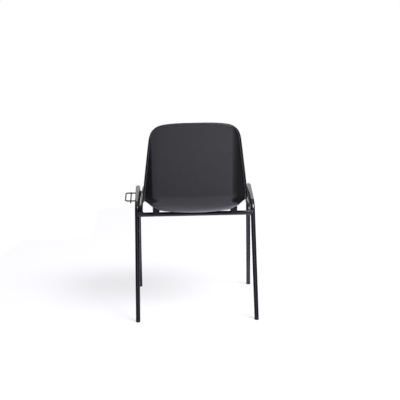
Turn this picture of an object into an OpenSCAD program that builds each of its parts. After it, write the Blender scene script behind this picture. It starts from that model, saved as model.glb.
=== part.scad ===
// Stacking and linking choir chair: a one-piece moulded bucket shell on a bent tube frame.
// The sitter faces +Y, +Z is up, and the origin is on the floor below the middle of the chair.

/* [Side frames] */
// Outside diameter of the side frame and cross bar tubes
tube_d = 18; // [14:0.5:22]
// Wall of every frame tube
tube_wall = 1.5; // [1:0.1:2.5]
// Distance between the left and right foot centres
track = 476; // [465:1:520]
// Distance between the front and rear foot centres
wheelbase = 450; // [420:1:480]
// Inward lean of each side frame
splay = 0.5; // [0:0.1:1]
// Height of the corner where the rear leg turns into the rail
rear_corner_z = 443; // [436:1:450]
// Distance of that corner behind the middle of the chair
rear_corner_back = 71; // [62:1:80]
// Height of the corner where the rail turns into the front leg
front_corner_z = 474; // [466:1:482]
// Distance of that corner in front of the middle of the chair
front_corner_fore = 172; // [164:1:182]
// Centre line radius of the rear bends
rear_bend_r = 45; // [36:1:55]
// Centre line radius of the front bends
front_bend_r = 42; // [36:1:48]

/* [Seat frame] */
// Height of the rear cross bar's axis
rear_bar_z = 407.5; // [400:0.5:410]
// Height of the front cross bar's axis
front_bar_z = 434; // [428:1:438]
// Diameter of the inner side rails
rail_d = 14; // [12:0.5:16]
// Height at which the inner rail turns forward
rail_corner_z = 434; // [430:1:438]
// Centre line radius of the inner rail's bend
rail_bend_r = 32; // [20:1:34]

/* [Shell] */
// Lowest point of the shell's underside
shell_low_z = 424; // [422:0.25:426]
// Distance of that point behind the middle of the chair
shell_low_back = 107; // [102:1:112]
// Wall of the moulding
shell_wall = 4; // [3:0.25:5]
// Radius of the curve between seat and back
heel_r = 95; // [85:1:105]
// Lean of the back where it leaves the heel curve
back_lean_low = 6.5; // [3:0.5:9]
// Lean of the back at its top edge
back_lean_top = 19.5; // [16:0.5:22]
// Length of the back above the heel curve
back_len = 309; // [290:1:330]
// Angle at which the seat rises towards the front
seat_rise_angle = 6; // [4.5:0.25:7]
// Distance from the front bar's axis forward to where the front edge starts to curve down
nose_past_bar = -4; // [-10:1:10]
// Radius of the front edge's downward curve
nose_r = 52; // [40:1:65]
// Angle through which the front edge curves down
nose_turn_angle = 56; // [40:1:70]
// Half width of the back at its top
back_half_w = 160.5; // [155:0.5:168]
// Half width of the shell where seat and back meet
heel_half_w = 198; // [190:1:202]
// Half width of the seat
seat_half_w = 205; // [198:1:208]
// Depth of the hollow across the back
back_hollow = 17.5; // [10:0.5:24]
// Depth of the hollow across the seat
seat_hollow = 15.5; // [11:0.5:20]
// Depth of the hollow across the front edge
nose_hollow = 5; // [2:0.5:10]
// Half width at which soft shoulders bend out of the panel
shoulder_half_w = 142; // [136:1:148]
// Softness of that bend
shoulder_r = 9; // [5:0.5:14]
// Half width of the crease between the shoulders and the side wings
crease_half_w = 166; // [160:1:170]
// Softness of the crease
crease_r = 4; // [2:0.5:8]
// Steepness of the side wings where seat and back meet
wing_slope = 0.7; // [0.6:0.02:0.8]
// Steepness of the side wings at the top edge
top_wing_slope = 0.44; // [0.2:0.02:0.7]
// Steepness of the side wings at the front edge
nose_wing_slope = 0.1; // [0:0.02:0.3]
// Outward reach of the turned rim
rim_out = 5.5; // [5:0.25:6.5]
// Depth of the turned rim
rim_drop = 9; // [7:0.5:11]
// Wall of the turned rim
rim_wall = 2.5; // [2:0.25:3]
// Radius of the rim's upper corner
rim_round = 2.5; // [1.5:0.25:3]

/* [Seat mounts] */
// Distance between the left and right seat mounts
mount_span = 314; // [300:1:320]
// Width of a mount block along its bar
block_w = 27; // [24:0.5:32]
// Depth of a mount block across its bar
block_depth = 26; // [24:0.5:30]
// Height of a mount block's skirts above its bar's axis
block_skirt = 1; // [0.5:0.25:4]
// Corner radius of a mount block
block_round = 4; // [2:0.5:6]
// Diameter of the bosses under the shell
boss_d = 24; // [20:0.5:25]
// Length of a boss below the shell's underside
boss_len = 6; // [4:0.5:7]
// Plastic left between a screw hole's end and the sitter's side
boss_cover = 2; // [1.5:0.25:3]
// Diameter of the seat screws
screw_d = 6; // [5:0.25:6.5]
// Diameter of the screw heads
screw_head_d = 9.5; // [9:0.25:10]
// Height of the screw heads
screw_head_h = 4; // [3:0.25:5]
// Width across the flats of the screw heads' sockets
socket_w = 4; // [3:0.5:5]
// Depth of the screw heads' sockets
socket_depth = 2.4; // [1.5:0.1:2.6]
// Outside diameter of the curved washers
washer_d = 10.5; // [10:0.25:11]
// Thickness of the curved washers at their rim
washer_t = 1; // [0.8:0.1:1.4]

/* [Feet] */
// Length of the foot plug between tube end and floor
foot_len = 8; // [7:0.25:12]
// Length of the foot plug inside the tube
plug_len = 22; // [15:1:30]

/* [Row link] */
// Wire diameter of the row link
wire_d = 5.5; // [4.5:0.25:6]
// Reach of the link beyond the rail's outer face
link_reach = 42; // [38:0.5:46]
// Distance from the rail's outer face to the middle bar
link_mid = 18; // [16:0.5:20]
// Length of the link along the rail
link_len = 89; // [80:1:105]
// Distance from the rear corner to the link's rear wire
link_back = 52; // [46:1:60]
// Centre line radius of the link's corners
link_bend_r = 9; // [7:0.5:12]
// Overhang of the middle bar past the cross wires
link_nub = 3; // [2:0.5:6]

/* [Hidden] */
$fn = 48;
bend_sides = 96;

quarter_turn = 90;
half_turn = 180;
full_turn = 360;

// Gap left at every weld and seat
seat_gap = 0.3;
// Sliding clearance of plugs and screws
fit_gap = 0.1;
// Overrun of every cut
over = 2;
// Lap of straights into bends, and the bends' growth in diameter that covers it
lap = 0.5;
bend_swell = 0.1;

frame_black = "#26262a";
shell_black = "#2c2c30";
plastic_black = "#1c1c1e";
steel_grey = "#8a8d90";

tube_r = tube_d / 2;
rail_r = rail_d / 2;
wire_r = wire_d / 2;
bore_d = tube_d - 2 * tube_wall;

// Corners of a side frame in its own plane, written as [y, z]
rear_foot = [-wheelbase / 2, 0];
rear_corner = [-rear_corner_back, rear_corner_z];
front_corner = [front_corner_fore, front_corner_z];
front_foot = [wheelbase / 2, 0];

function unit(v) = v / norm(v);
function left_of(v) = [-v.y, v.x];
function heading(v) = atan2(v.y, v.x);
function turn(a, b) =
    let (t = heading(b) - heading(a))
    t > half_turn ? t - full_turn : t < -half_turn ? t + full_turn : t;
function along(a, b, len) = a + unit(b - a) * len;
function at_height(a, b, z) = a + (b - a) * ((z - a.y) / (b.y - a.y));

// Length that a bend takes from each of the two straights it joins
function bend_take(a, b, c, r) = r * tan(abs(turn(b - a, c - b)) / 2);
function bend_centre(a, b, c, r) =
    let (t = turn(b - a, c - b), u = unit(b - a))
    b - u * bend_take(a, b, c, r) + left_of(u) * r * sign(t);

// Axes of the two cross bars in the side view
rear_bar_at = at_height(rear_foot, rear_corner, rear_bar_z);
front_bend_at = bend_centre(rear_corner, front_corner, front_foot, front_bend_r);
front_bend_end_z = front_corner.y
    - bend_take(rear_corner, front_corner, front_foot, front_bend_r)
        * cos(heading(front_foot - front_corner) + quarter_turn);
front_bar_rise = front_bar_z - front_bend_at.y;
front_bar_y = front_bar_z > front_bend_end_z
    ? front_bend_at.x + sqrt(front_bend_r ^ 2 - front_bar_rise ^ 2)
    : at_height(front_foot, front_corner, front_bar_z).x;
front_bar_at = [front_bar_y, front_bar_z];

// Draws its children, made in a side view plane, in the plane of one side frame
module side_plane(side, inward = 0) {
    translate([side * track / 2, 0, 0])
        rotate([0, -side * splay, 0])
            translate([-side * inward, 0, 0])
                rotate([quarter_turn, 0, quarter_turn])
                    children();
}

// A straight round bar between two points of the plane, running on by a lap into the bends it meets
module plane_bar(a, b, d, lap_a = 0, lap_b = 0) {
    from = along(a, b, -lap_a);
    translate([from.x, from.y, 0])
        rotate([0, 0, heading(b - a)])
            rotate([0, quarter_turn, 0])
                cylinder(h = norm(b - a) + lap_a + lap_b, d = d);
}

// A bend of a round bar at corner b, swollen by a hair so that the straights end inside it
module plane_bend(a, b, c, r, d) {
    t = turn(b - a, c - b);
    centre = bend_centre(a, b, c, r);
    from = t > 0 ? heading(b - a) - quarter_turn : heading(c - b) + quarter_turn;
    translate([centre.x, centre.y, 0])
        rotate([0, 0, from])
            rotate_extrude(angle = abs(t), $fn = bend_sides)
                translate([r, 0])
                    circle(d = d + bend_swell);
}

// The bent bar of one side frame: rear leg, rail and front leg
module arch_solid(d, extra = 0) {
    rear_take = bend_take(rear_foot, rear_corner, front_corner, rear_bend_r);
    front_take = bend_take(rear_corner, front_corner, front_foot, front_bend_r);
    rear_end = along(rear_foot, rear_corner, foot_len - extra);
    front_end = along(front_foot, front_corner, foot_len - extra);
    rail_from = along(rear_corner, front_corner, rear_take);
    rail_to = along(front_corner, rear_corner, front_take);
    plane_bar(rear_end, along(rear_corner, rear_foot, rear_take), d, 0, lap);
    plane_bend(rear_foot, rear_corner, front_corner, rear_bend_r, d);
    plane_bar(rail_from, rail_to, d, lap, lap);
    plane_bend(rear_corner, front_corner, front_foot, front_bend_r, d);
    plane_bar(along(front_corner, front_foot, front_take), front_end, d, lap, 0);
}

module side_frame(side) {
    color(frame_black)
        side_plane(side)
            difference() {
                arch_solid(tube_d);
                arch_solid(bore_d, over);
            }
}

// A plain bar across the chair at one place of the side view
module cross_bar_solid(at, d, len) {
    translate([-len / 2, at.x, at.y])
        rotate([0, quarter_turn, 0])
            cylinder(h = len, d = d);
}

// A cross bar mitred to the side frames, with holes for the seat screws and wider holes below to reach them
module cross_bar(at) {
    color(frame_black)
        difference() {
            cross_bar_solid(at, tube_d, track - 2 * at.y * tan(splay));
            cross_bar_solid(at, bore_d, track);
            for (side = [-1, 1]) {
                side_plane(side)
                    arch_solid(tube_d + 2 * seat_gap);
                translate([side * mount_span / 2, at.x, at.y])
                    cylinder(h = tube_d, d = screw_d + 2 * fit_gap);
                translate([side * mount_span / 2, at.x, at.y - tube_d])
                    cylinder(h = tube_d, d = washer_d + 2 * seat_gap);
            }
        }
}

// The bent rail that ties the two cross bars inside one side frame
rail_inward = tube_r + rail_r + seat_gap;
rail_corner = at_height(rear_foot, rear_corner, rail_corner_z);

module inner_rail_solid(d) {
    take = bend_take(rear_bar_at, rail_corner, front_bar_at, rail_bend_r);
    plane_bar(rear_bar_at, along(rail_corner, rear_bar_at, take), d, 0, lap);
    plane_bend(rear_bar_at, rail_corner, front_bar_at, rail_bend_r, d);
    plane_bar(along(rail_corner, front_bar_at, take), front_bar_at, d, lap, 0);
}

module inner_rail(side) {
    color(frame_black)
        difference() {
            side_plane(side, rail_inward)
                difference() {
                    inner_rail_solid(rail_d);
                    inner_rail_solid(rail_d - 2 * tube_wall);
                }
            for (at = [rear_bar_at, front_bar_at])
                cross_bar_solid(at, tube_d + 2 * seat_gap, track);
        }
}

// Centre profile of the shell's underside, as arcs [length, turn] from its lowest point
function arc_len(r, angle) = r * angle * PI / half_turn;
heel_turn = quarter_turn - back_lean_low;
heel_arc_len = arc_len(heel_r, heel_turn);
back_arcs = [[heel_arc_len, heel_turn], [back_len, back_lean_low - back_lean_top]];
toe_arc_len = arc_len(heel_r, seat_rise_angle);
nose_start_y = front_bar_y + nose_past_bar;
seat_len = (nose_start_y + shell_low_back - heel_r * sin(seat_rise_angle)) / cos(seat_rise_angle);
nose_len = arc_len(nose_r, nose_turn_angle);
seat_arcs = [[toe_arc_len, seat_rise_angle], [seat_len, 0], [nose_len, -nose_turn_angle]];
back_total = heel_arc_len + back_len;
seat_total = toe_arc_len + seat_len + nose_len;

// Place and heading [y, z, angle] after a length s of a row of arcs, all turning up when positive
function walk(arcs, s, from = [0, 0, 0], i = 0) =
    let (last = i == len(arcs) - 1, arc = arcs[i])
    let (step = last ? s : min(s, arc[0]), bend = arc[1] * step / arc[0])
    let (chord = bend == 0 ? step : 2 * step * sin(bend / 2) / arc_len(1, bend))
    let (to = from + [chord * cos(from[2] + bend / 2), chord * sin(from[2] + bend / 2), bend])
    last || s <= arc[0] ? to : walk(arcs, s - arc[0], to, i + 1);

// Profile point [y, z] and its heading at a signed length q from the lowest point
function profile(q) =
    let (w = walk(q < 0 ? back_arcs : seat_arcs, abs(q)), m = q < 0 ? -1 : 1)
    [[m * w[0] - shell_low_back, w[1] + shell_low_z], m * w[2]];

function smooth(t) = let (c = max(0, min(1, t))) c * c * (3 - 2 * c);
function mix(a, b, t) = a + (b - a) * t;

// Share of the seat's length over which it widens
widen_share = 0.5;

// Shares of the way from mid seat to front edge and from the heel curve to the top edge
function to_nose(q) = smooth((q - seat_len / 2) / (seat_total - seat_len / 2));
function to_top(q) = max(0, (-q - heel_arc_len) / back_len);

// Half width of the shell at a signed length q along the profile
function half_width(q) =
    q < 0
    ? mix(heel_half_w, back_half_w, to_top(q))
    : mix(heel_half_w, seat_half_w, smooth(q / (widen_share * seat_len)));

// Rise of the edge over the middle that makes the hollow
function hollow(q) =
    q < 0
    ? mix(seat_hollow, back_hollow, smooth(-q / heel_arc_len))
    : mix(seat_hollow, nose_hollow, to_nose(q));

// Rise of the shoulders and side wings over the hollow panel
function wing_steepness(q) =
    q < 0 ? mix(wing_slope, top_wing_slope, to_top(q)) : mix(wing_slope, nose_wing_slope, to_nose(q));
shoulder_share = 0.5;
function bend_rise(x, start, r) = (sqrt((x - start) ^ 2 + r ^ 2) + x - start) / 2;
function side_rise(x) =
    mix(bend_rise(x, crease_half_w, crease_r), bend_rise(x, shoulder_half_w, shoulder_r), shoulder_share);
function wing(x, q) = wing_steepness(q) * (side_rise(abs(x)) - side_rise(0));

// Length lost at the two ends at a share s of the half width, by a bow and two rounded corners
top_bow = 24.5;
top_corner = 53.5;
top_corner_power = 15;
nose_bow = 26;
nose_corner = 60;
nose_corner_power = 12;
bow_power = 2.6;
function end_loss(s, bow, corner, power) =
    bow * abs(s) ^ bow_power + corner * (1 - sqrt(max(0, 1 - abs(s) ^ power)));
function top_end(s) = end_loss(s, top_bow, top_corner, top_corner_power) - back_total;
function nose_end(s) = seat_total - end_loss(s, nose_bow, nose_corner, nose_corner_power);

// Point of the shell at share s of the half width and length q, raised by h towards the sitter
function shell_at(s, q, h) =
    let (p = profile(q), x = s * half_width(q))
    let (n = hollow(q) * s * s + wing(x, q) + h)
    [x, p[0].x - sin(p[1]) * n, p[0].y + cos(p[1]) * n];

// Grid over the shell, with its lines closer together near the edges
across_count = 22;
down_count = 34;
edge_crowding = 0.35;
function across_share(i) = sin(quarter_turn * (2 * i / across_count - 1));
function down_share(j) = mix(j / down_count, (1 - cos(half_turn * j / down_count)) / 2, edge_crowding);
function grid_point(i, j, h) =
    let (s = across_share(i))
    shell_at(s, mix(top_end(s), nose_end(s), down_share(j)), h);
function grid_index(i, j) = j * (across_count + 1) + i;
grid_total = (across_count + 1) * (down_count + 1);

// Grid places round the edge of the shell, in order
edge_places = concat(
    [for (i = [0 : across_count - 1]) [i, 0]],
    [for (j = [0 : down_count - 1]) [across_count, j]],
    [for (i = [across_count : -1 : 1]) [i, down_count]],
    [for (j = [down_count : -1 : 1]) [0, j]]
);
edge_count = len(edge_places);
function edge_place(k) = edge_places[(k + edge_count) % edge_count];
function edge_point(k) = let (e = edge_place(k)) grid_point(e[0], e[1], 0);

// Direction towards the sitter and direction outwards at an edge place
function near(v, top) = max(0, min(top, v));
function edge_frame(k) =
    let (e = edge_place(k), i = e[0], j = e[1])
    let (a = grid_point(near(i + 1, across_count), j, 0) - grid_point(near(i - 1, across_count), j, 0))
    let (b = grid_point(i, near(j + 1, down_count), 0) - grid_point(i, near(j - 1, down_count), 0))
    let (n = unit(cross(a, b)))
    [unit(cross(edge_point(k + 1) - edge_point(k - 1), n)), n];

// Section of the turned rim as [outwards, towards the sitter], from the underside round to the upper side
rim_steps = 2;
rim_section = concat(
    [[rim_out - rim_wall, 0], [rim_out - rim_wall, -rim_drop], [rim_out, -rim_drop]],
    [for (i = [0 : rim_steps])
        [rim_out - rim_round, shell_wall - rim_round]
            + rim_round * [cos(quarter_turn * i / rim_steps), sin(quarter_turn * i / rim_steps)]]
);
rim_count = len(rim_section);
function rim_index(k, r) =
    let (e = edge_place(k))
    r == 0 ? grid_index(e[0], e[1])
    : r > rim_count ? grid_total + grid_index(e[0], e[1])
    : 2 * grid_total + ((k + edge_count) % edge_count) * rim_count + r - 1;

// The moulded sheet with its rim, as one closed skin
module shell_sheet() {
    lower = [for (j = [0 : down_count]) for (i = [0 : across_count]) grid_point(i, j, 0)];
    upper = [for (j = [0 : down_count]) for (i = [0 : across_count]) grid_point(i, j, shell_wall)];
    rim = [for (k = [0 : edge_count - 1])
        let (at = edge_point(k), f = edge_frame(k))
        for (p = rim_section) at + p.x * f[0] + p.y * f[1]];
    lower_faces = [for (j = [0 : down_count - 1]) for (i = [0 : across_count - 1])
        let (a = grid_index(i, j), b = a + 1, c = grid_index(i + 1, j + 1), d = c - 1)
        each [[a, b, c], [a, c, d]]];
    upper_faces = [for (f = lower_faces) [f[0] + grid_total, f[2] + grid_total, f[1] + grid_total]];
    rim_faces = [for (k = [0 : edge_count - 1]) for (r = [0 : rim_count])
        let (a = rim_index(k, r), b = rim_index(k, r + 1))
        let (c = rim_index(k + 1, r + 1), d = rim_index(k + 1, r))
        each [[a, b, c], [a, c, d]]];
    polyhedron(points = concat(lower, upper, rim), faces = concat(lower_faces, upper_faces, rim_faces));
}

// Length along the profile below a place of the seat, by repeated correction
function length_at(x, y, q, tries = 6) =
    tries == 0 ? q : length_at(x, y, q + y - shell_at(x / half_width(q), q, 0).y, tries - 1);
function underside_z(x, y, h) =
    let (q = length_at(x, y, y + shell_low_back))
    shell_at(x / half_width(q), q, h).z;

// Height of the top of the mount block on a bar, and of the end of the screw hole above it
function block_top(at) = underside_z(mount_span / 2, at.x, 0) - boss_len - seat_gap;
function hole_end(at) = underside_z(mount_span / 2, at.x, shell_wall) - boss_cover;

// A boss that reaches from its mount block into the middle of the shell's wall
boss_sides = 32;
module boss_body(x, y, low_z) {
    ring = [for (i = [0 : boss_sides - 1])
        let (angle = full_turn * i / boss_sides)
        [x + boss_d / 2 * cos(angle), y + boss_d / 2 * sin(angle)]];
    polyhedron(
        points = concat(
            [for (p = ring) [p.x, p.y, low_z]],
            [for (p = ring) [p.x, p.y, underside_z(p.x, p.y, shell_wall / 2)]],
            [[x, y, underside_z(x, y, shell_wall / 2)]]
        ),
        faces = concat(
            [[for (i = [0 : boss_sides - 1]) i]],
            [for (i = [0 : boss_sides - 1])
                let (j = (i + 1) % boss_sides)
                each [[i, i + boss_sides, j], [j, i + boss_sides, j + boss_sides]]],
            [for (i = [0 : boss_sides - 1])
                [i + boss_sides, 2 * boss_sides, (i + 1) % boss_sides + boss_sides]]
        )
    );
}

module seat_shell() {
    color(shell_black)
        difference() {
            union() {
                shell_sheet();
                for (at = [rear_bar_at, front_bar_at], side = [-1, 1])
                    boss_body(side * mount_span / 2, at.x, block_top(at) + seat_gap);
            }
            for (at = [rear_bar_at, front_bar_at], side = [-1, 1])
                translate([side * mount_span / 2, at.x, block_top(at)])
                    cylinder(h = hole_end(at) - block_top(at), d = screw_d + 2 * fit_gap);
        }
}

// A saddle block that sits on a cross bar and carries the shell
module mount_block(side, at) {
    low = at.y + block_skirt;
    color(plastic_black)
        difference() {
            translate([side * mount_span / 2, at.x, low])
                linear_extrude(block_top(at) - low)
                    rounded_rectangle(block_w, block_depth, block_round);
            cross_bar_solid(at, tube_d + 2 * seat_gap, track);
            translate([side * mount_span / 2, at.x, at.y])
                cylinder(h = block_top(at) - at.y + over, d = screw_d + 2 * fit_gap);
        }
}

module rounded_rectangle(w, h, r) {
    square([w - 2 * r, h], center = true);
    square([w, h - 2 * r], center = true);
    for (x = [-1, 1], y = [-1, 1])
        translate([x * (w / 2 - r), y * (h / 2 - r)])
            circle(r);
}

// Heights of the washers' and the screw heads' undersides above a bar's axis, inside the bar
washer_crown_d = bore_d - 2 * fit_gap;
washer_low = sqrt(washer_crown_d ^ 2 - washer_d ^ 2) / 2 - washer_t;
head_low = washer_low - fit_gap - screw_head_h;
socket_sides = 6;

// Screws whose heads bear on the upper wall inside the bar, turned through the access holes
module seat_screws() {
    color(steel_grey)
        for (at = [rear_bar_at, front_bar_at], side = [-1, 1])
            translate([side * mount_span / 2, at.x, at.y + head_low])
                difference() {
                    union() {
                        cylinder(h = hole_end(at) - fit_gap - at.y - head_low, d = screw_d);
                        cylinder(h = screw_head_h, d = screw_head_d);
                    }
                    translate([0, 0, -over])
                        cylinder(
                            h = socket_depth + over,
                            d = socket_w / cos(half_turn / socket_sides),
                            $fn = socket_sides
                        );
                }
}

// Washers crowned on top to fit inside the round bars
module seat_washers() {
    color(steel_grey)
        for (at = [rear_bar_at, front_bar_at], side = [-1, 1])
            intersection() {
                translate([side * mount_span / 2, at.x, at.y + washer_low])
                    difference() {
                        cylinder(h = tube_r, d = washer_d);
                        translate([0, 0, -over])
                            cylinder(h = tube_r + 2 * over, d = screw_d + 2 * fit_gap);
                    }
                cross_bar_solid(at, washer_crown_d, track);
            }
}

// Radius and centre height of the ball that rounds off the feet
foot_ball_r = 13.5;
foot_ball_z = 11.5;

// A plug in a leg's end, cut level where it meets the floor
module foot(side, floor_at, corner) {
    color(plastic_black)
        intersection() {
            side_plane(side) {
                plane_bar(floor_at, along(floor_at, corner, foot_len - seat_gap), tube_d, tube_d, 0);
                plane_bar(floor_at, along(floor_at, corner, foot_len + plug_len), bore_d - 2 * fit_gap);
            }
            union() {
                intersection() {
                    translate([side * track / 2, floor_at.x, foot_ball_z])
                        sphere(foot_ball_r);
                    translate([-track, -track, 0])
                        cube([2 * track, 2 * track, foot_ball_z]);
                }
                translate([-track, -track, foot_len / 2])
                    cube([2 * track, 2 * track, track]);
            }
        }
}

// Draws its children with X along the left rail from the rear corner, Y outwards and Z up
module link_plane() {
    side_plane(-1)
        translate([rear_corner.x, rear_corner.y, 0])
            rotate([0, 0, heading(front_corner - rear_corner)])
                rotate([-quarter_turn, 0, 0])
                    children();
}

link_out = tube_r + link_reach - wire_r;
link_root_rear = [link_back, 0];
link_root_front = [link_back + link_len, 0];
link_corner_rear = [link_back, link_out];
link_corner_front = [link_back + link_len, link_out];

bend_shift = [link_bend_r, 0];

// The bent wire rectangle welded to the rail's outer side
module link_loop() {
    color(frame_black)
        difference() {
            link_plane() {
                plane_bar(link_root_rear, link_corner_rear - [0, link_bend_r], wire_d, 0, lap);
                plane_bend(link_root_front, link_corner_front, link_corner_rear, link_bend_r, wire_d);
                plane_bar(link_corner_rear + bend_shift, link_corner_front - bend_shift, wire_d, lap, lap);
                plane_bend(link_corner_front, link_corner_rear, link_root_rear, link_bend_r, wire_d);
                plane_bar(link_corner_front - [0, link_bend_r], link_root_front, wire_d, lap, 0);
            }
            side_plane(-1)
                arch_solid(tube_d + 2 * seat_gap);
        }
}

// The straight wire under the loop's two cross wires
module link_middle_bar() {
    mid_out = tube_r + link_mid;
    past = wire_r + link_nub;
    color(frame_black)
        link_plane()
            translate([0, 0, -wire_d - seat_gap])
                plane_bar([link_back - past, mid_out], [link_back + link_len + past, mid_out], wire_d);
}

seat_shell();
side_frame(-1);  // left_side_frame
side_frame(1);  // right_side_frame
cross_bar(rear_bar_at);  // rear_cross_bar
cross_bar(front_bar_at);  // front_cross_bar
inner_rail(-1);  // left_inner_rail
inner_rail(1);  // right_inner_rail
mount_block(-1, rear_bar_at);  // rear_left_mount_block
mount_block(1, rear_bar_at);  // rear_right_mount_block
mount_block(-1, front_bar_at);  // front_left_mount_block
mount_block(1, front_bar_at);  // front_right_mount_block
seat_screws();
seat_washers();
foot(-1, rear_foot, rear_corner);  // rear_left_foot
foot(1, rear_foot, rear_corner);  // rear_right_foot
foot(-1, front_foot, front_corner);  // front_left_foot
foot(1, front_foot, front_corner);  // front_right_foot
link_loop();
link_middle_bar();
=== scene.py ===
"""Looks of a choir chair: a moulded bucket shell on a bent tube frame, with a row link on one side."""

import math

import bpy
from mathutils import Matrix, Vector


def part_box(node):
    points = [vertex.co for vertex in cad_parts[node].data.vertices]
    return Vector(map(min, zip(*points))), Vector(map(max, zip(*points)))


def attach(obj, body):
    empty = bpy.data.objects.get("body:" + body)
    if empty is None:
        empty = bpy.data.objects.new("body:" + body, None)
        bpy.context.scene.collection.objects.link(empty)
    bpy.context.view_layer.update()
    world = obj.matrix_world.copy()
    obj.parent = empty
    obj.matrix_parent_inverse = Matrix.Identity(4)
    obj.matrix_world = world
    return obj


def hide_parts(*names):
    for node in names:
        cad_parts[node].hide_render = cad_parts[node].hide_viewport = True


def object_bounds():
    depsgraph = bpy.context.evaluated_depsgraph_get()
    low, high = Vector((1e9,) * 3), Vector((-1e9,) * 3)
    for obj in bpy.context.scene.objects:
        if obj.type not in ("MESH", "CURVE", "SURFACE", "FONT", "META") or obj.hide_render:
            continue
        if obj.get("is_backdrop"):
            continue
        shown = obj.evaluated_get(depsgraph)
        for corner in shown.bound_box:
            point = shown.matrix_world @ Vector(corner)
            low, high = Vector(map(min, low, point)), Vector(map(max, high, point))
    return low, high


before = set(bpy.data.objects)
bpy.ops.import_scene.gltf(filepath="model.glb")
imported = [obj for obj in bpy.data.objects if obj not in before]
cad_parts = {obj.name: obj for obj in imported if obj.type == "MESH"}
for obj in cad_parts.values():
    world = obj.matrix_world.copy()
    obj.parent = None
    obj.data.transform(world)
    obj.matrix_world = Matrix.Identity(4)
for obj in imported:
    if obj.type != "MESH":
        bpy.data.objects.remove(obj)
box_at_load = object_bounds()

# Lengths are in millimetres and angles in degrees, unless a comment says otherwise
MM = 0.001

# The moulded shell, with the sizes of its solid but for a few that follow the photo more closely:
# its low point, top lean, back length, seat hollow and crease
SHELL_LOW_Z = 421.5
SHELL_LOW_BACK = 107
SHELL_WALL = 4
HEEL_R = 95
BACK_LEAN_LOW = 6.5
BACK_LEAN_TOP = 19.4
BACK_LEN = 311.2
SEAT_RISE_ANGLE = 6
NOSE_PAST_BAR = -4
NOSE_R = 52
NOSE_TURN_ANGLE = 56
BACK_HALF_W = 160.5
HEEL_HALF_W = 198
SEAT_HALF_W = 205
WIDEN_SHARE = 0.5
BACK_HOLLOW = 17.5
SEAT_HOLLOW = 18
NOSE_HOLLOW = 5
WING_SLOPE = 0.7
TOP_WING_SLOPE = 0.44
NOSE_WING_SLOPE = 0.1
SHOULDER_HALF_W = 142
SHOULDER_R = 9
SHOULDER_SHARE = 0.5
CREASE_HALF_W = 170
CREASE_R = 3.5
TOP_BOW = 24.5
TOP_CORNER = 53.5
TOP_CORNER_POWER = 15
NOSE_BOW = 26
NOSE_CORNER = 60
NOSE_CORNER_POWER = 12
BOW_POWER = 2.6

# Section of its turned rim. The solid has no fillet at the root and no rounded tip.
RIM_OUT = 5.5
RIM_DROP = 9
RIM_WALL = 2.5
RIM_ROUND = 2.5
RIM_TIP = 1.0
RIM_ROOT = 2.9
RIM_ROOT_STEPS = 6
RIM_TIP_STEPS = 3
RIM_ROUND_STEPS = 5

# Fields of its grid, and how far the rows crowd towards both ends
ACROSS = 108
DOWN = 150
EDGE_CROWDING = 0.4


def middle_of(name):
    """Middle of a CAD node's box, in metres."""
    low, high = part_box(name)
    return (low + high) / 2


SEAT_LEN = (
    middle_of("front_cross_bar").y / MM + NOSE_PAST_BAR + SHELL_LOW_BACK
    - HEEL_R * math.sin(math.radians(SEAT_RISE_ANGLE))
) / math.cos(math.radians(SEAT_RISE_ANGLE))
HEEL_ARC = HEEL_R * math.radians(90 - BACK_LEAN_LOW)
TOE_ARC = HEEL_R * math.radians(SEAT_RISE_ANGLE)
NOSE_ARC = NOSE_R * math.radians(NOSE_TURN_ANGLE)
BACK_ARCS = ((HEEL_ARC, 90 - BACK_LEAN_LOW), (BACK_LEN, BACK_LEAN_LOW - BACK_LEAN_TOP))
SEAT_ARCS = ((TOE_ARC, SEAT_RISE_ANGLE), (SEAT_LEN, 0), (NOSE_ARC, -NOSE_TURN_ANGLE))
BACK_TOTAL = HEEL_ARC + BACK_LEN
SEAT_TOTAL = TOE_ARC + SEAT_LEN + NOSE_ARC


def walk(arcs, length):
    """Place and heading reached after a length along a row of arcs."""
    y, z, angle = 0.0, 0.0, 0.0
    for number, (arc_len, arc_turn) in enumerate(arcs):
        last = number == len(arcs) - 1
        step = length if last else min(length, arc_len)
        half = math.radians(arc_turn * step / arc_len / 2)
        chord = step * math.sin(half) / half if half else step
        y += chord * math.cos(angle + half)
        z += chord * math.sin(angle + half)
        angle += 2 * half
        length -= step
        if length <= 0:
            break
    return y, z, angle


def profile(q):
    """Point of the shell's middle line and its heading at a signed length from the lowest point."""
    sign = -1 if q < 0 else 1
    y, z, angle = walk(BACK_ARCS if q < 0 else SEAT_ARCS, abs(q))
    return sign * y - SHELL_LOW_BACK, z + SHELL_LOW_Z, sign * angle


def smooth(t):
    """Eases from 0 to 1 and stays level beyond both."""
    t = max(0.0, min(1.0, t))
    return t * t * (3 - 2 * t)


def mix(a, b, t):
    return a + (b - a) * t


def to_nose(q):
    """Rises from 0 at the middle of the seat to 1 at the front edge."""
    return smooth((q - SEAT_LEN / 2) / (SEAT_TOTAL - SEAT_LEN / 2))


def up_back(q):
    """Rises from 0 above the heel curve to 1 at the top of the back."""
    return max(0.0, (-q - HEEL_ARC) / BACK_LEN)


def half_width(q):
    if q < 0:
        return mix(HEEL_HALF_W, BACK_HALF_W, up_back(q))
    return mix(HEEL_HALF_W, SEAT_HALF_W, smooth(q / (WIDEN_SHARE * SEAT_LEN)))


def hollow(q):
    if q < 0:
        return mix(SEAT_HOLLOW, BACK_HOLLOW, smooth(-q / HEEL_ARC))
    return mix(SEAT_HOLLOW, NOSE_HOLLOW, to_nose(q))


def wing_steepness(q):
    if q < 0:
        return mix(WING_SLOPE, TOP_WING_SLOPE, up_back(q))
    return mix(WING_SLOPE, NOSE_WING_SLOPE, to_nose(q))


def bend_rise(x, start, softness):
    """Level up to a start and then one to one, with a soft bend between."""
    return (math.sqrt((x - start) ** 2 + softness ** 2) + x - start) / 2


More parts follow.
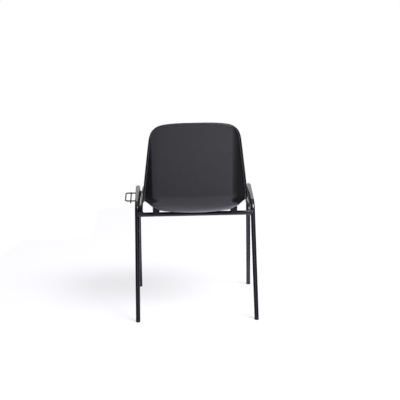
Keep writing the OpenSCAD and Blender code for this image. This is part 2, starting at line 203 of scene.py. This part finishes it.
def side_rise(x):
    """Rise of the side in two steps, a soft shoulder and a crisper crease."""
    crease = bend_rise(x, CREASE_HALF_W, CREASE_R)
    return mix(crease, bend_rise(x, SHOULDER_HALF_W, SHOULDER_R), SHOULDER_SHARE)


def wing(x, q):
    return wing_steepness(q) * (side_rise(abs(x)) - side_rise(0))


def end_loss(s, bow, corner, power):
    """Length that an end lacks at a share of the half width, by its bow and its rounded corner."""
    return bow * abs(s) ** BOW_POWER + corner * (1 - math.sqrt(max(0.0, 1 - abs(s) ** power)))


def shell_at(s, q, h):
    """Point of the shell at a share of its half width and a length, raised towards the sitter."""
    y, z, angle = profile(q)
    x = s * half_width(q)
    n = hollow(q) * s * s + wing(x, q) + h
    return Vector((x, y - math.sin(angle) * n, z + math.cos(angle) * n)) * MM


def across_share(i):
    """Share of the half width, with fields that narrow towards both sides."""
    return math.sin(math.pi / 2 * (2 * i / ACROSS - 1))


def grid_place(i, j):
    """Share of the half width and length of one grid point."""
    s = across_share(i)
    top = end_loss(s, TOP_BOW, TOP_CORNER, TOP_CORNER_POWER) - BACK_TOTAL
    nose = SEAT_TOTAL - end_loss(s, NOSE_BOW, NOSE_CORNER, NOSE_CORNER_POWER)
    t = mix(j / DOWN, 0.5 - 0.5 * math.cos(math.pi * j / DOWN), EDGE_CROWDING)
    return s, mix(top, nose, t)


def surface_normal(s, q):
    """Direction towards the sitter at a place of the shell."""
    share_step, length_step = 0.002, 0.5
    along = shell_at(s, q + length_step, 0) - shell_at(s, q - length_step, 0)
    across = shell_at(s + share_step, q, 0) - shell_at(s - share_step, q, 0)
    return across.cross(along).normalized()


def arc(centre_out, centre_up, radius, start, end, steps):
    """Points of an arc in the rim's section, as outward and upward distances."""
    points = []
    for k in range(steps + 1):
        angle = math.radians(mix(start, end, k / steps))
        points.append((centre_out + radius * math.cos(angle), centre_up + radius * math.sin(angle)))
    return points


def rim_section():
    """Section of the turned rim, from the underside round its lip to the upper side."""
    inner = RIM_OUT - RIM_WALL
    tip_up = RIM_TIP - RIM_DROP
    return (
        arc(inner - RIM_ROOT, -RIM_ROOT, RIM_ROOT, 90, 0, RIM_ROOT_STEPS)
        + arc(inner + RIM_TIP, tip_up, RIM_TIP, 180, 270, RIM_TIP_STEPS)
        + arc(RIM_OUT - RIM_TIP, tip_up, RIM_TIP, 270, 360, RIM_TIP_STEPS)
        + arc(RIM_OUT - RIM_ROUND, SHELL_WALL - RIM_ROUND, RIM_ROUND, 0, 90, RIM_ROUND_STEPS)
    )


def new_object(name, points, faces, materials):
    """A smooth-shaded mesh object, in the scene."""
    mesh = bpy.data.meshes.new(name)
    mesh.from_pydata(points, [], faces)
    mesh.polygons.foreach_set("use_smooth", [True] * len(mesh.polygons))
    mesh.update()
    for material in materials:
        mesh.materials.append(material)
    obj = bpy.data.objects.new(name, mesh)
    bpy.context.scene.collection.objects.link(obj)
    return obj


def shell_mesh():
    """Points and faces of the whole moulding: both skins and the rim that closes them."""
    places = [grid_place(i, j) for j in range(DOWN + 1) for i in range(ACROSS + 1)]
    points = [shell_at(s, q, 0) for s, q in places]
    points += [shell_at(s, q, SHELL_WALL) for s, q in places]
    total = len(places)

    def index(i, j):
        return j * (ACROSS + 1) + i

    faces = []
    for j in range(DOWN):
        for i in range(ACROSS):
            quad = (index(i, j), index(i + 1, j), index(i + 1, j + 1), index(i, j + 1))
            faces.append(quad)
            faces.append(tuple(total + k for k in reversed(quad)))
    edge = (
        [index(i, 0) for i in range(ACROSS)]
        + [index(ACROSS, j) for j in range(DOWN)]
        + [index(i, DOWN) for i in range(ACROSS, 0, -1)]
        + [index(0, j) for j in range(DOWN, 0, -1)]
    )
    section = rim_section()
    rings = []
    for number, here in enumerate(edge):
        before = points[edge[number - 1]]
        after = points[edge[(number + 1) % len(edge)]]
        up = surface_normal(*places[here])
        out = (after - before).cross(up).normalized()
        first = len(points)
        points += [points[here] + (out * o + up * u) * MM for o, u in section]
        rings.append([here] + list(range(first, first + len(section))) + [here + total])
    for number, ring in enumerate(rings):
        following = rings[(number + 1) % len(rings)]
        for k in range(len(ring) - 1):
            faces.append((ring[k], ring[k + 1], following[k + 1], following[k]))
    return points, faces


# Materials. Bump distances are in metres and noise scales per metre.
def shader(name, colour, roughness, metallic=0.0):
    """A new material and its main shader."""
    material = bpy.data.materials.new(name)
    material.use_nodes = True
    base = material.node_tree.nodes["Principled BSDF"]
    base.inputs["Base Color"].default_value = (*colour, 1)
    base.inputs["Roughness"].default_value = roughness
    base.inputs["Metallic"].default_value = metallic
    return material, base


def node(material, kind, **values):
    """A new node, with values for its inputs or for its other settings."""
    made = material.node_tree.nodes.new(kind)
    for key, value in values.items():
        if key in made.inputs:
            made.inputs[key].default_value = value
        else:
            setattr(made, key, value)
    return made


def link(material, source, target):
    material.node_tree.links.new(source, target)


def noise(material, scale, detail, distortion=0.0):
    """Noise that is fixed to the object."""
    where = node(material, "ShaderNodeTexCoord")
    made = node(material, "ShaderNodeTexNoise", Scale=scale, Detail=detail, Distortion=distortion)
    link(material, where.outputs["Object"], made.inputs["Vector"])
    return made.outputs["Fac"]


def spread(material, source, low, high, low_out, high_out):
    """Maps a source between two values to a result between two others."""
    made = node(material, "ShaderNodeMapRange")
    made.inputs["From Min"].default_value = low
    made.inputs["From Max"].default_value = high
    made.inputs["To Min"].default_value = low_out
    made.inputs["To Max"].default_value = high_out
    link(material, source, made.inputs["Value"])
    return made.outputs["Result"]


def bump(material, height, distance, strength, before=None):
    """Normal bent by a height, on top of an earlier normal if there is one."""
    made = node(material, "ShaderNodeBump", Strength=strength, Distance=distance)
    link(material, height, made.inputs["Height"])
    if before:
        link(material, before, made.inputs["Normal"])
    return made.outputs["Normal"]


def shell_material():
    """Black moulded plastic with a fine grain and the faint unevenness of a large moulding."""
    material, base = shader("shell_plastic", (0.0072, 0.0074, 0.0080), 0.24)
    base.inputs["Specular IOR Level"].default_value = 0.45
    grain = noise(material, scale=1500, detail=2)
    sink = noise(material, scale=9, detail=2)
    normal = bump(material, grain, distance=0.00002, strength=0.3)
    normal = bump(material, sink, distance=0.0006, strength=0.35, before=normal)
    link(material, normal, base.inputs["Normal"])
    wear = noise(material, scale=38, detail=6, distortion=0.4)
    roughness = spread(material, wear, low=0.35, high=0.7, low_out=0.22, high_out=0.26)
    link(material, roughness, base.inputs["Roughness"])
    return material


def coat_material():
    """Black powder coat with its orange peel."""
    material, base = shader("frame_coat", (0.008, 0.008, 0.0092), 0.3)
    peel = noise(material, scale=650, detail=2)
    flow = noise(material, scale=120, detail=2)
    normal = bump(material, peel, distance=0.00006, strength=0.4)
    normal = bump(material, flow, distance=0.00012, strength=0.3, before=normal)
    link(material, normal, base.inputs["Normal"])
    handled = noise(material, scale=30, detail=5, distortion=0.3)
    roughness = spread(material, handled, low=0.35, high=0.7, low_out=0.18, high_out=0.24)
    link(material, roughness, base.inputs["Roughness"])
    return material


def weld_material():
    """Coat over the weld beads, thin and shiny on their ripples, in a colour lighter than the frame
    coat that paints a highlight on them.
    """
    # Base colour lighter than the frame coat's: a painted highlight on the beads
    material, base = shader("weld_coat_painted_highlight", (0.03, 0.03, 0.032), 0.2)
    base.inputs["Coat Weight"].default_value = 0.6
    base.inputs["Coat Roughness"].default_value = 0.12
    pools = noise(material, scale=900, detail=3)
    link(material, bump(material, pools, distance=0.00015, strength=0.6), base.inputs["Normal"])
    dust = noise(material, scale=300, detail=4)
    roughness = spread(material, dust, low=0.35, high=0.7, low_out=0.16, high_out=0.34)
    link(material, roughness, base.inputs["Roughness"])
    return material


def wire_material():
    """Duller black coat of the bent link wires."""
    material, base = shader("wire_coat", (0.006, 0.006, 0.0068), 0.42)
    base.inputs["Specular IOR Level"].default_value = 0.3
    peel = noise(material, scale=700, detail=2)
    link(material, bump(material, peel, distance=0.00006, strength=0.4), base.inputs["Normal"])
    rubbed = noise(material, scale=90, detail=5, distortion=0.3)
    roughness = spread(material, rubbed, low=0.35, high=0.7, low_out=0.36, high_out=0.48)
    link(material, roughness, base.inputs["Roughness"])
    return material


def block_material():
    """Matt black plastic of the mount blocks and the feet."""
    material, base = shader("block_plastic", (0.006, 0.006, 0.0064), 0.52)
    base.inputs["Specular IOR Level"].default_value = 0.35
    grain = noise(material, scale=900, detail=3)
    link(material, bump(material, grain, distance=0.00008, strength=0.5), base.inputs["Normal"])
    scuffs = noise(material, scale=70, detail=6, distortion=0.6)
    roughness = spread(material, scuffs, low=0.4, high=0.7, low_out=0.46, high_out=0.62)
    link(material, roughness, base.inputs["Roughness"])
    return material


def steel_material():
    """Zinc-plated steel of the screws and washers."""
    material, base = shader("zinc_steel", (0.53, 0.54, 0.55), 0.32, metallic=1.0)
    mottle = noise(material, scale=400, detail=4)
    roughness = spread(material, mottle, low=0.3, high=0.7, low_out=0.24, high_out=0.42)
    link(material, roughness, base.inputs["Roughness"])
    link(material, bump(material, mottle, distance=0.00003, strength=0.4), base.inputs["Normal"])
    return material


SHELL = shell_material()
COAT = coat_material()
WELD = weld_material()
WIRE = wire_material()
BLOCK = block_material()
STEEL = steel_material()

# Smooth shading, with a gap in metres
MERGE_GAP = 0.00001
SMOOTH_BELOW = math.radians(32)


def smoothing_group():
    """Joins split corners and shades every edge smooth but the sharp ones."""
    group = bpy.data.node_groups.new("smooth_by_angle", "GeometryNodeTree")
    group.interface.new_socket("Geometry", in_out="INPUT", socket_type="NodeSocketGeometry")
    group.interface.new_socket("Geometry", in_out="OUTPUT", socket_type="NodeSocketGeometry")
    nodes, links = group.nodes, group.links
    start = nodes.new("NodeGroupInput")
    end = nodes.new("NodeGroupOutput")
    merge = nodes.new("GeometryNodeMergeByDistance")
    merge.inputs["Distance"].default_value = MERGE_GAP
    faces = nodes.new("GeometryNodeSetShadeSmooth")
    faces.domain = "FACE"
    faces.inputs["Shade Smooth"].default_value = True
    edges = nodes.new("GeometryNodeSetShadeSmooth")
    edges.domain = "EDGE"
    edges.inputs["Shade Smooth"].default_value = False
    angle = nodes.new("GeometryNodeInputMeshEdgeAngle")
    sharp = nodes.new("FunctionNodeCompare")
    sharp.data_type = "FLOAT"
    sharp.operation = "GREATER_THAN"
    sharp.inputs[1].default_value = SMOOTH_BELOW
    links.new(start.outputs[0], merge.inputs["Geometry"])
    links.new(merge.outputs["Geometry"], faces.inputs["Geometry"])
    links.new(faces.outputs["Geometry"], edges.inputs["Geometry"])
    links.new(angle.outputs["Unsigned Angle"], sharp.inputs[0])
    links.new(sharp.outputs["Result"], edges.inputs["Selection"])
    links.new(edges.outputs["Geometry"], end.inputs[0])
    return group


SMOOTH_BY_ANGLE = smoothing_group()


def shade_by_angle(obj):
    modifier = obj.modifiers.new("smooth", "NODES")
    modifier.node_group = SMOOTH_BY_ANGLE


def finish_of(name):
    """Material of a CAD node."""
    if "foot" in name or "block" in name:
        return BLOCK
    if name in ("seat_screws", "seat_washers"):
        return STEEL
    if name.startswith("link"):
        return WIRE
    if name == "seat_shell":
        return SHELL
    return COAT


for name, cad_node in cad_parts.items():
    shade_by_angle(cad_node)
    cad_node.data.materials.clear()
    cad_node.data.materials.append(finish_of(name))

# The moulded shell
shell_points, shell_faces = shell_mesh()
shell = new_object("moulded_shell", shell_points, shell_faces, [SHELL])
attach(shell, "root")
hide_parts("seat_shell")

# Bosses between the mount blocks and the shell
BOSS_R = 12
BOSS_HOLE_R = 3.1
BOSS_HOLE = 8
BOSS_GAP = 0.3
BOSS_EDGE = 0.6
BOSS_SIDES = 48
SEARCH_STEPS = 6


def sheet_z(x, y):
    """Height of the middle of the shell's wall over a place of the seat, all in metres."""
    q = y / MM + SHELL_LOW_BACK
    for _ in range(SEARCH_STEPS):
        q += (y - shell_at(x / MM / half_width(q), q, 0).y) / MM
    return shell_at(x / MM / half_width(q), q, SHELL_WALL / 2).z


def boss(name, block):
    """A boss with its screw hole, from the top of one mount block into the shell's wall."""
    low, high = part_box(block)
    x, y = (low.x + high.x) / 2, (low.y + high.y) / 2
    bottom = high.z + BOSS_GAP * MM
    rings = (
        (BOSS_HOLE_R, BOSS_HOLE), (BOSS_HOLE_R, 0), (BOSS_R - BOSS_EDGE, 0), (BOSS_R, BOSS_EDGE),
    )
    points = [Vector((x, y, bottom + BOSS_HOLE * MM))]
    faces = []
    for radius, rise in (*rings, (BOSS_R, None)):
        for k in range(BOSS_SIDES):
            angle = 2 * math.pi * k / BOSS_SIDES
            outward = Vector((math.cos(angle), math.sin(angle), 0))
            spot = Vector((x, y, 0)) + outward * radius * MM
            spot.z = sheet_z(spot.x, spot.y) if rise is None else bottom + rise * MM
            points.append(spot)
    for k in range(BOSS_SIDES):
        following = (k + 1) % BOSS_SIDES
        faces.append((0, 1 + k, 1 + following))
        for ring in range(len(rings)):
            a, b = 1 + ring * BOSS_SIDES, 1 + (ring + 1) * BOSS_SIDES
            faces.append((a + k, b + k, b + following, a + following))
    made = new_object(name, points, faces, [SHELL])
    shade_by_angle(made)
    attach(made, "root")


for place in ("rear_left", "rear_right", "front_left", "front_right"):
    boss(place + "_boss", place + "_mount_block")

# Sizes of the frame's solids where the weld beads lie
TUBE_R = 9
RAIL_R = 7
WIRE_R = 2.75
TRACK = 476
SPLAY = math.radians(0.5)
WHEELBASE = 450
REAR_CORNER = (-71, 443)
FRONT_CORNER = (172, 474)
LINK_BACK = 52
LINK_LEN = 89
LINK_MID = 18

# Weld beads
BEAD_STEPS = 72
BEAD_SIDES = 10
TUBE_BEAD = 2.5
RAIL_BEAD = 2.3
WIRE_BEAD = 1.3
BAR_INSET = 0.4
CROSSING_R = 1.9
CROSSING_STEPS = 36
TUBE_RIPPLES = 26
RAIL_RIPPLES = 22
WIRE_RIPPLES = 12
CROSSING_RIPPLES = 8
RIPPLE_SHARE = 0.16
SWELLS = 3
SWELL_SHARE = 0.12


def bead_curve(origin, away, along, big_r, small_r):
    """Closed line where a round bar that leaves a round tube at right angles meets its surface."""
    across = along.cross(away).normalized()
    points = []
    for k in range(BEAD_STEPS):
        angle = 2 * math.pi * k / BEAD_STEPS
        side = small_r * math.cos(angle)
        depth = math.sqrt(max(0.0, big_r ** 2 - side ** 2))
        forward = small_r * math.sin(angle)
        points.append(origin + (away * depth + across * side + along * forward) * MM)
    return points


def bead(name, curve, radius, ripples, phase):
    """A closed weld bead along a line, with the ripples that its pools leave."""
    centre = sum(curve, Vector()) / len(curve)
    points, faces = [], []
    for k, here in enumerate(curve):
        ahead = (curve[(k + 1) % len(curve)] - curve[k - 1]).normalized()
        out = (here - centre).normalized()
        side = ahead.cross(out).normalized()
        out = side.cross(ahead).normalized()
        turn = 2 * math.pi * k / len(curve)
        ripple = RIPPLE_SHARE * math.sin(ripples * turn + phase)
        swell = SWELL_SHARE * math.sin(SWELLS * turn + 2 * phase)
        size = radius * (1 + ripple + swell)
        for m in range(BEAD_SIDES):
            angle = 2 * math.pi * m / BEAD_SIDES
            points.append(here + (out * math.cos(angle) + side * math.sin(angle)) * size * MM)
    total = len(curve) * BEAD_SIDES
    for k in range(len(curve)):
        for m in range(BEAD_SIDES):
            a = k * BEAD_SIDES + m
            b = k * BEAD_SIDES + (m + 1) % BEAD_SIDES
            faces.append((a, (a + BEAD_SIDES) % total, (b + BEAD_SIDES) % total, b))
    made = new_object(name, points, faces, [WELD])
    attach(made, "root")


def frame_x(side, z):
    """Place across the chair of one side frame's axis at a height, in millimetres."""
    return side * (TRACK / 2 - z * math.tan(SPLAY))


def direction(start, end):
    """Direction from one place to another, given as depth and height."""
    return Vector((0, end[0] - start[0], end[1] - start[1])).normalized()


REAR_LEG = direction((-WHEELBASE / 2, 0), REAR_CORNER)
FRONT_LEG = direction((WHEELBASE / 2, 0), FRONT_CORNER)
SIDE_RAIL = direction(REAR_CORNER, FRONT_CORNER)

for side, side_name in ((-1, "left"), (1, "right")):
    inward = Vector((-side, 0, 0))
    for end_name, leg in (("rear", REAR_LEG), ("front", FRONT_LEG)):
        bar = middle_of(end_name + "_cross_bar")
        origin = Vector((frame_x(side, bar.z / MM) * MM, bar.y, bar.z))
        curve = bead_curve(origin, inward, leg, TUBE_R, TUBE_R - BAR_INSET)
        bead(f"{end_name}_{side_name}_bar_weld", curve, TUBE_BEAD, TUBE_RIPPLES, side)
    rail = middle_of(side_name + "_inner_rail")
    crosswise = Vector((1, 0, 0))
    for end_name, away in (("rear", REAR_LEG), ("front", Vector((0, -1, 0)))):
        bar = middle_of(end_name + "_cross_bar")
        origin = Vector((rail.x, bar.y, bar.z))
        curve = bead_curve(origin, away, crosswise, TUBE_R, RAIL_R)
        bead(f"{end_name}_{side_name}_rail_weld", curve, RAIL_BEAD, RAIL_RIPPLES, 2 * side)

for end_name, distance in (("rear", LINK_BACK), ("front", LINK_BACK + LINK_LEN)):
    spot = Vector((0, REAR_CORNER[0], REAR_CORNER[1])) + SIDE_RAIL * distance
    spot.x = frame_x(-1, spot.z)
    curve = bead_curve(spot * MM, Vector((-1, 0, 0)), SIDE_RAIL, TUBE_R, WIRE_R)
    bead(f"{end_name}_link_weld", curve, WIRE_BEAD, WIRE_RIPPLES, distance)
    below = SIDE_RAIL.cross(Vector((1, 0, 0))) * -WIRE_R
    crossing = spot + Vector((-TUBE_R - LINK_MID, 0, 0)) + below
    ring = []
    for k in range(CROSSING_STEPS):
        angle = 2 * math.pi * k / CROSSING_STEPS
        flat = Vector((math.cos(angle), 0, 0)) + SIDE_RAIL * math.sin(angle)
        ring.append((crossing + flat * CROSSING_R) * MM)
    bead(f"{end_name}_link_middle_weld", ring, WIRE_BEAD, CROSSING_RIPPLES, distance)

# Camera, as in the photo: places in metres, angles in radians, lens and sensor in millimetres
CAMERA_X = -0.1066
CAMERA_BACK = 4.4168
CAMERA_HEIGHT = 1.5592
PITCH = 0.2471
YAW = 0.0054
ROLL = -0.0195
LENS = 99.65
SHIFT_X = 0.0645
SENSOR_WIDTH = 36


def make_camera():
    """Sets up the photo's camera from its place, aim and roll."""
    data = bpy.data.cameras.new("camera")
    data.lens = LENS
    data.sensor_width = SENSOR_WIDTH
    data.shift_x = SHIFT_X
    camera = bpy.data.objects.new("camera", data)
    bpy.context.scene.collection.objects.link(camera)
    ahead = Vector((
        math.sin(YAW) * math.cos(PITCH), math.cos(YAW) * math.cos(PITCH), -math.sin(PITCH),
    ))
    level = Vector((math.cos(YAW), -math.sin(YAW), 0))
    upright = level.cross(ahead)
    right = math.cos(ROLL) * level + math.sin(ROLL) * upright
    up = math.cos(ROLL) * upright - math.sin(ROLL) * level
    camera.matrix_world = Matrix((
        (right.x, up.x, -ahead.x, CAMERA_X),
        (right.y, up.y, -ahead.y, -CAMERA_BACK),
        (right.z, up.z, -ahead.z, CAMERA_HEIGHT),
        (0, 0, 0, 1),
    ))
    bpy.context.scene.camera = camera


make_camera()

# Studio, in metres. The albedo of the side sheets holds for all but the camera's own rays, and is low:
# these dark sheets paint shade on the chair's side wings.
FLOOR_ALBEDO = 0.9
# Low albedos of the side sheets for all but camera rays: painted shade on the side wings
LEFT_SHADE_ALBEDO = 0.13
RIGHT_SHADE_ALBEDO = 0.03
FLOOR_NEAR = -1.3
FLOOR_FAR = 1.6
FLOOR_LEFT = -0.5
FLOOR_RIGHT = 0.45
SIDE_LEFT = -0.85
SIDE_RIGHT = 0.7
SIDE_FAR = 1.0
FLOOR_NEAR_LEFT = -1.3
FLOOR_NEAR_RIGHT = 0.95
FLOOR_STEP_NEAR = -0.62
FLOOR_STEP_FAR = -0.45
FLOOR_LIFT = 0.72
FLOOR_TINT = (0.905, 0.90, 1.0)
WORLD_DIM = 0.1
WORLD_TINT = (1, 0.97, 0.93)
NEUTRAL = (1, 1, 1)
COOL = (0.84, 0.78, 1.0)


def floor_material(name, unseen_albedo):
    """Pale paper, lifted towards white where the camera sees it, with an albedo for other rays."""
    material = bpy.data.materials.new(name)
    material.use_nodes = True
    material.node_tree.nodes.remove(material.node_tree.nodes["Principled BSDF"])
    paper_colour = [FLOOR_ALBEDO * c for c in FLOOR_TINT]
    unseen_colour = [unseen_albedo * c for c in FLOOR_TINT]
    paper = node(material, "ShaderNodeBsdfDiffuse", Color=(*paper_colour, 1))
    unseen = node(material, "ShaderNodeBsdfDiffuse", Color=(*unseen_colour, 1))
    white = node(material, "ShaderNodeEmission", Color=(1, 1, 1, 1), Strength=1)
    seen = node(material, "ShaderNodeMixShader", Fac=FLOOR_LIFT)
    path = node(material, "ShaderNodeLightPath")
    pick = node(material, "ShaderNodeMixShader")
    link(material, paper.outputs[0], seen.inputs[1])
    link(material, white.outputs[0], seen.inputs[2])
    link(material, path.outputs["Is Camera Ray"], pick.inputs[0])
    link(material, unseen.outputs[0], pick.inputs[1])
    link(material, seen.outputs[0], pick.inputs[2])
    link(material, pick.outputs[0], material.node_tree.nodes["Material Output"].inputs["Surface"])
    return material


def floor_sheet(name, outline, unseen_albedo):
    """One flat sheet of the floor."""
    points = [(x, y, 0) for x, y in outline]
    face = tuple(range(len(points)))
    sheet = new_object(name, points, [face], [floor_material(name, unseen_albedo)])
    sheet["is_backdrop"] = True


def make_floor():
    """A lit sheet round the chair, and two side sheets, white to the camera but dark to all other
    rays, that paint shade on the chair's side wings.
    """
    left_step = ((FLOOR_NEAR_LEFT, FLOOR_STEP_NEAR), (FLOOR_LEFT, FLOOR_STEP_FAR))
    right_step = ((FLOOR_RIGHT, FLOOR_STEP_FAR), (FLOOR_NEAR_RIGHT, FLOOR_STEP_NEAR))
    near_edge = ((FLOOR_NEAR_RIGHT, FLOOR_NEAR), (FLOOR_NEAR_LEFT, FLOOR_NEAR))
    far_edge = ((FLOOR_LEFT, FLOOR_FAR), (FLOOR_RIGHT, FLOOR_FAR))
    floor_sheet("floor", (*near_edge, *left_step, *far_edge, *right_step), FLOOR_ALBEDO)
    left_far = ((FLOOR_LEFT, SIDE_FAR), (SIDE_LEFT, SIDE_FAR))
    right_far = ((SIDE_RIGHT, SIDE_FAR), (FLOOR_RIGHT, SIDE_FAR))
    # Side sheets white to the camera and dark to all other rays: painted shade on the side wings
    floor_sheet("floor_left_painted_shade", (*left_step, *left_far), LEFT_SHADE_ALBEDO)
    floor_sheet("floor_right_painted_shade", (*right_step[::-1], *right_far[::-1]), RIGHT_SHADE_ALBEDO)


def softbox(name, where, target, width, height, radiance, colour):
    """A rectangular lamp with a given brightness of its face."""
    data = bpy.data.lights.new(name, "AREA")
    data.color = colour
    data.shape = "RECTANGLE"
    data.size = width
    data.size_y = height
    data.energy = radiance * math.pi * width * height
    lamp = bpy.data.objects.new(name, data)
    lamp.location = where
    aim = Vector(target) - Vector(where)
    lamp.rotation_euler = aim.to_track_quat("-Z", "Y").to_euler()
    bpy.context.scene.collection.objects.link(lamp)
    lamp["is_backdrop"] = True


def make_world():
    """White to the camera and dim to all other rays."""
    world = bpy.data.worlds.new("studio")
    world.use_nodes = True
    nodes, links = world.node_tree.nodes, world.node_tree.links
    seen = nodes["Background"]
    seen.inputs["Color"].default_value = (1, 1, 1, 1)
    seen.inputs["Strength"].default_value = 1
    dim = nodes.new("ShaderNodeBackground")
    dim.inputs["Color"].default_value = (*WORLD_TINT, 1)
    dim.inputs["Strength"].default_value = WORLD_DIM
    path = nodes.new("ShaderNodeLightPath")
    blend = nodes.new("ShaderNodeMixShader")
    links.new(path.outputs["Is Camera Ray"], blend.inputs[0])
    links.new(dim.outputs[0], blend.inputs[1])
    links.new(seen.outputs[0], blend.inputs[2])
    links.new(blend.outputs[0], nodes["World Output"].inputs["Surface"])
    bpy.context.scene.world = world


# Name, place, target, width, height, radiance and colour of each lamp
LAMPS = (
    ("top_box", (0, 0.6, 3.0), (0, 0.2, 0), 3.0, 3.6, 0.8, COOL),
    ("key", (2.3, -1.75, 3.75), (0, 0, 0.45), 2.6, 2.0, 20.4, NEUTRAL),
    ("back_box", (0, 4.2, 1.5), (0, 0, 0.5), 3.6, 2.6, 1.6, NEUTRAL),
    ("rear_top", (0.25, -1.1, 2.1), (0.15, -0.5, 0.3), 0.9, 0.6, 4, NEUTRAL),
    ("front_box", (0, -5.4, 2.9), (0, 0, 0.5), 3.2, 2.4, 1.2, COOL),
)

make_floor()
make_world()
for lamp_values in LAMPS:
    softbox(*lamp_values)

bpy.context.scene.view_settings.view_transform = "Standard"

sizes = {"load": box_at_load, "finish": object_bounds()}


def plain(value):
    if isinstance(value, (int, float)):
        return float(value)
    return [plain(v) for v in value]


{key: plain(value) for key, value in sizes.items()}
